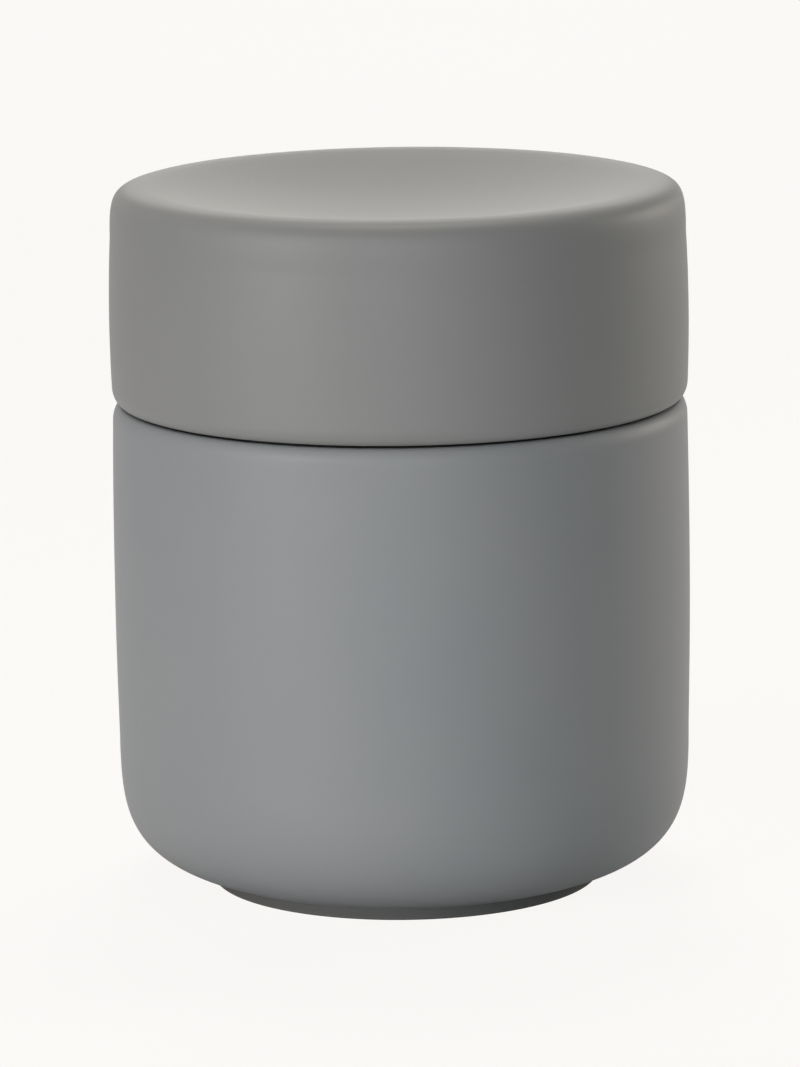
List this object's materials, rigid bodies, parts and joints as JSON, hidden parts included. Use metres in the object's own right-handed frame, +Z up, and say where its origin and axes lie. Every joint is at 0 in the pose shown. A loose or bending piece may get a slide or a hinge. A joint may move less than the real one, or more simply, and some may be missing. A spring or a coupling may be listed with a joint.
{
  "type": "storage jar",
  "caption": "Round stoneware storage jar with a belly on a low foot and a hollow dished lid that seals on a ribbed silicone ring and lifts off.",
  "frame": {"origin": "centre of the jar's footprint, in the plane of the table it stands on", "axes": "+Z up along the jar's axis of revolution, towards the lid"},
  "size_m": [0.0834, 0.0834, 0.1019],
  "materials": {
    "jar_body": "matte",
    "lid": "matte",
    "seal_ring": "matte",
    "foot_ring": "matte"
  },
  "bodies": {
    "jar": {"jar_body": "jar_body", "foot_ring": "foot_ring"},
    "seal": {"seal_ring": "seal_ring"},
    "lid": {"lid": "lid"}
  },
  "joints": [
    {"name": "lid_lift", "type": "slide", "parent": "jar", "child": "seal", "axis": [0, 0, 1], "range_m": [0, 0.1]},
    {"name": "lid_turn", "type": "hinge", "parent": "seal", "child": "lid", "pos_m": [0, 0, 0.0707], "axis": [0, 0, 1], "continuous": true}
  ]
}
